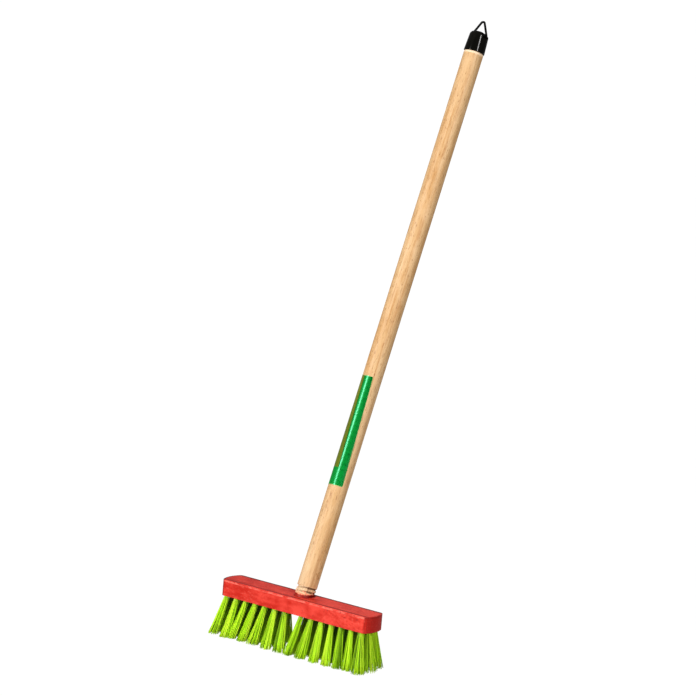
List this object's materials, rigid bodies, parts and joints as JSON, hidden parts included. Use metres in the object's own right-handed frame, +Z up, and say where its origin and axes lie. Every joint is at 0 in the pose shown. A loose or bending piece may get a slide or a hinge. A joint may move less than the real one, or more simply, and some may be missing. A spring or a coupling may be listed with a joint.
{
  "type": "push broom",
  "caption": "Small floor broom with a painted wooden block, stapled plastic bristle tufts, a slanted screw-in wooden handle and an end cap with a swinging hanging loop.",
  "frame": {"origin": "on the floor under the middle of the bounding box; the bristle tips stand at z = 0", "axes": "+Z up, +X along the block, +Y back, the way the handle leans"},
  "size_m": [0.2148, 0.2694, 0.6777],
  "materials": {
    "red_paint": "red paint, slightly glossy",
    "bare_wood": "satin varnish",
    "bristle_green": "smooth",
    "staple_steel": "bare wire",
    "label_film": "glossy printed film",
    "black_plastic": "satin",
    "black_wire": "black coating"
  },
  "bodies": {
    "broom": {"broom_block": "red_paint", "bristles_front": "bristle_green", "staple_front_01": "staple_steel", "staple_front_02": "staple_steel", "staple_front_03": "staple_steel", "staple_front_04": "staple_steel", "staple_front_05": "staple_steel", "staple_front_06": "staple_steel", "staple_front_07": "staple_steel", "staple_front_08": "staple_steel", "staple_front_09": "staple_steel", "staple_front_10": "staple_steel", "staple_front_11": "staple_steel", "staple_front_12": "staple_steel", "staple_front_13": "staple_steel", "staple_front_14": "staple_steel", "bristles_middle": "bristle_green", "staple_middle_01": "staple_steel", "staple_middle_02": "staple_steel", "staple_middle_03": "staple_steel", "staple_middle_04": "staple_steel", "staple_middle_05": "staple_steel", "staple_middle_06": "staple_steel", "staple_middle_07": "staple_steel", "staple_middle_08": "staple_steel", "staple_middle_09": "staple_steel", "staple_middle_10": "staple_steel", "staple_middle_11": "staple_steel", "staple_middle_12": "staple_steel", "staple_middle_13": "staple_steel", "staple_middle_14": "staple_steel", "bristles_rear_left": "bristle_green", "staple_rear_01": "staple_steel", "staple_rear_02": "staple_steel", "staple_rear_03": "staple_steel", "staple_rear_04": "staple_steel", "staple_rear_05": "staple_steel", "staple_rear_06": "staple_steel", "bristles_rear_right": "bristle_green", "staple_rear_07": "staple_steel", "staple_rear_08": "staple_steel", "staple_rear_09": "staple_steel", "staple_rear_10": "staple_steel", "staple_rear_11": "staple_steel", "staple_rear_12": "staple_steel", "handle": "bare_wood", "label": "label_film", "end_cap": "black_plastic"},
    "hanger": {"hanging_loop": "black_wire"}
  },
  "joints": [
    {"name": "loop_swing", "type": "hinge", "parent": "broom", "child": "hanger", "pos_m": [0, 0.12445, 0.66052], "axis": [1, 0, 0], "range_deg": [-45, 45]}
  ]
}
